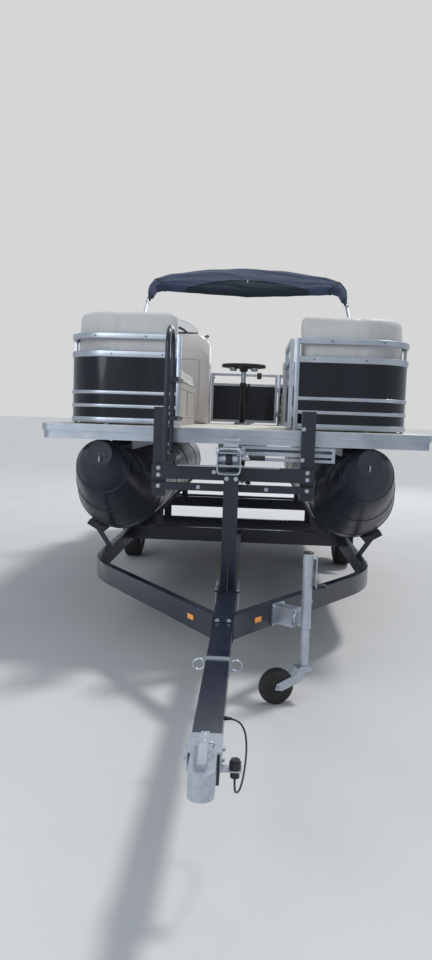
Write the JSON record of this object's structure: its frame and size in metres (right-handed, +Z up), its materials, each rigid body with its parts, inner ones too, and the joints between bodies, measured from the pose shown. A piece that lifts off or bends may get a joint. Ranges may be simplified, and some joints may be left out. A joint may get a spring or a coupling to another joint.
{
  "type": "pontoon boat on trailer",
  "caption": "Two-tube pontoon boat with fenced deck, lounges, helm, folded sun top and outboard motor, standing on its single-axle trailer.",
  "frame": {"origin": "on the ground, at the middle of the object's length and width, cords left out", "axes": "+X to port, +Y aft, +Z up; the bow and the trailer's tongue point to -Y"},
  "size_m": [2.59, 8.8199, 3.3651],
  "materials": {
    "deck_vinyl": "textured",
    "bare_aluminium": "satin",
    "tube_coating": "satin",
    "panel_black": "gloss",
    "seat_base": "matte",
    "seat_vinyl": "satin",
    "console_shell": "gloss",
    "clear_screen": "clear",
    "black_plastic": "satin",
    "table_metal": "satin",
    "top_canvas": "woven",
    "motor_black": "gloss",
    "prop_metal": "satin",
    "trailer_black": "gloss",
    "zinc": "bright",
    "bunk_carpet": "pile",
    "pad_rubber": "matte",
    "tyre_rubber": "matte",
    "wheel_metal": "gloss",
    "cord_jacket": "matte",
    "lamp_red": "clear"
  },
  "bodies": {
    "root": {"axle": "trailer_black", "boarding_ladder": "trailer_black", "bow_ladder": "bare_aluminium", "bow_stop_pads": "pad_rubber", "bow_stops": "trailer_black", "bunk_brackets": "trailer_black", "bunks": "bunk_carpet", "coupler": "zinc", "crossmembers": "trailer_black", "deck_board": "deck_vinyl", "deck_channels": "bare_aluminium", "deck_trim": "bare_aluminium", "fence_panels": "panel_black", "fence_rails": "bare_aluminium", "fenders": "trailer_black", "helm_console": "console_shell", "helm_pedestal": "seat_base", "jack_bracket": "zinc", "lounge_backs": "seat_vinyl", "lounge_bases": "seat_base", "lounge_seats": "seat_vinyl", "motor_clamp": "motor_black", "motor_pod": "bare_aluminium", "pontoons": "tube_coating", "table_post": "table_metal", "table_top": "black_plastic", "tail_lamps": "lamp_red", "tongue": "trailer_black", "tongue_band": "zinc", "tongue_sleeve": "trailer_black", "top_mounts": "bare_aluminium", "trailer_rails": "trailer_black", "tube_risers": "bare_aluminium", "u_bolts": "zinc", "winch": "zinc", "winch_post": "trailer_black", "windscreen": "clear_screen", "wiring_cord": "cord_jacket", "wiring_plug": "black_plastic"},
    "wheel_port": {"tyre_port": "tyre_rubber", "rim_port": "wheel_metal"},
    "wheel_starboard": {"tyre_starboard": "tyre_rubber", "rim_starboard": "wheel_metal"},
    "jack": {"jack_body": "zinc"},
    "jack_leg": {"jack_leg": "zinc"},
    "jack_caster": {"jack_caster": "zinc"},
    "jack_wheel": {"jack_wheel": "pad_rubber"},
    "bow_gate": {"bow_gate_frame": "bare_aluminium", "bow_gate_panel": "panel_black"},
    "stern_gate": {"stern_gate_frame": "bare_aluminium", "stern_gate_panel": "panel_black"},
    "helm_chair": {"helm_seat_frame": "seat_base", "helm_seat_cushions": "seat_vinyl"},
    "helm_wheel": {"steering_wheel": "black_plastic"},
    "sun_top": {"top_bows": "bare_aluminium", "folded_top": "top_canvas"},
    "motor_swivel": {"swivel_bracket": "motor_black"},
    "motor": {"motor_leg": "motor_black", "motor_cowl": "motor_black"},
    "propeller": {"propeller": "prop_metal"}
  },
  "joints": [
    {"name": "wheel_port_spin", "type": "hinge", "parent": "root", "child": "wheel_port", "pos_m": [1.145, 1.46, 0.305], "axis": [1, 0, 0], "continuous": true},
    {"name": "wheel_starboard_spin", "type": "hinge", "parent": "root", "child": "wheel_starboard", "pos_m": [-1.145, 1.46, 0.305], "axis": [1, 0, 0], "continuous": true},
    {"name": "jack_swing", "type": "hinge", "parent": "root", "child": "jack", "pos_m": [0.40214, -2.47422, 0.461], "axis": [0.8192, -0.5736, 0], "range_deg": [0, 90]},
    {"name": "jack_crank", "type": "slide", "parent": "jack", "child": "jack_leg", "axis": [0, 0, 1], "range_m": [-0.1, 0.2]},
    {"name": "caster_swivel", "type": "hinge", "parent": "jack_leg", "child": "jack_caster", "pos_m": [0.45006, -2.50778, 0.195], "axis": [0, 0, 1], "continuous": true},
    {"name": "caster_spin", "type": "hinge", "parent": "jack_caster", "child": "jack_wheel", "pos_m": [0.29815, -2.57217, 0.1], "axis": [0.3903, -0.9207, 0], "continuous": true},
    {"name": "bow_gate_swing", "type": "hinge", "parent": "root", "child": "bow_gate", "pos_m": [0.391, -1.345, 1.485], "axis": [0, 0, 1], "range_deg": [0, 90]},
    {"name": "stern_gate_swing", "type": "hinge", "parent": "root", "child": "stern_gate", "pos_m": [0.425, 2.84, 1.485], "axis": [0, 0, 1], "range_deg": [0, 90]},
    {"name": "chair_swivel", "type": "hinge", "parent": "root", "child": "helm_chair", "pos_m": [-0.745, 1.84, 1.825], "axis": [0, 0, 1], "continuous": true},
    {"name": "helm_turn", "type": "hinge", "parent": "root", "child": "helm_wheel", "pos_m": [-0.745, 1.26025, 2.36699], "axis": [0, 0.725, 0.6887], "range_deg": [-540, 540]},
    {"name": "top_raise", "type": "hinge", "parent": "root", "child": "sun_top", "pos_m": [0, 1.36, 2.16], "axis": [1, 0, 0], "range_deg": [0, 43]},
    {"name": "motor_tilt", "type": "hinge", "parent": "root", "child": "motor_swivel", "pos_m": [0, 3.81, 1.35], "axis": [1, 0, 0], "range_deg": [0, 65]},
    {"name": "motor_steer", "type": "hinge", "parent": "motor_swivel", "child": "motor", "pos_m": [0, 3.87, 1.25], "axis": [0, 0, 1], "range_deg": [-30, 30]},
    {"name": "propeller_spin", "type": "hinge", "parent": "motor", "child": "propeller", "pos_m": [0, 4.195, 0.66], "axis": [0, 1, 0], "continuous": true}
  ],
  "couplings": [
    {"joint": "helm_turn", "follows": "motor_steer", "ratio": -18}
  ]
}
